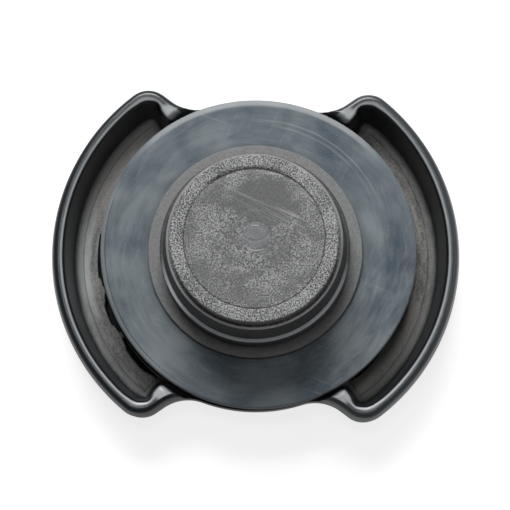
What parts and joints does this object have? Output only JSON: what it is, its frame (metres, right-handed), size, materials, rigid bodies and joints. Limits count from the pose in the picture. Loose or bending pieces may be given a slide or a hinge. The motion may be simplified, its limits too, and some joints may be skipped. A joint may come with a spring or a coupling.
{
  "type": "oil filler cap",
  "caption": "Round push-in filler cap with two hollow arc-shaped finger wings, a flat rubber sealing ring and a stepped cylindrical plug.",
  "frame": {"origin": "middle of the flat hidden face that the cap lies on", "axes": "+X along the two wings, +Y across them, +Z out of the plug face, the way the filler neck lies"},
  "size_m": [0.08, 0.0648, 0.0303],
  "materials": {
    "body_plastic": "satin black moulding",
    "gasket_rubber": "bloomed blue-grey rubber",
    "plug_plastic": "matt, spark-eroded grain on the face"
  },
  "bodies": {
    "root": {"cap_body": "body_plastic", "gasket": "gasket_rubber", "plug": "plug_plastic"}
  },
  "joints": []
}
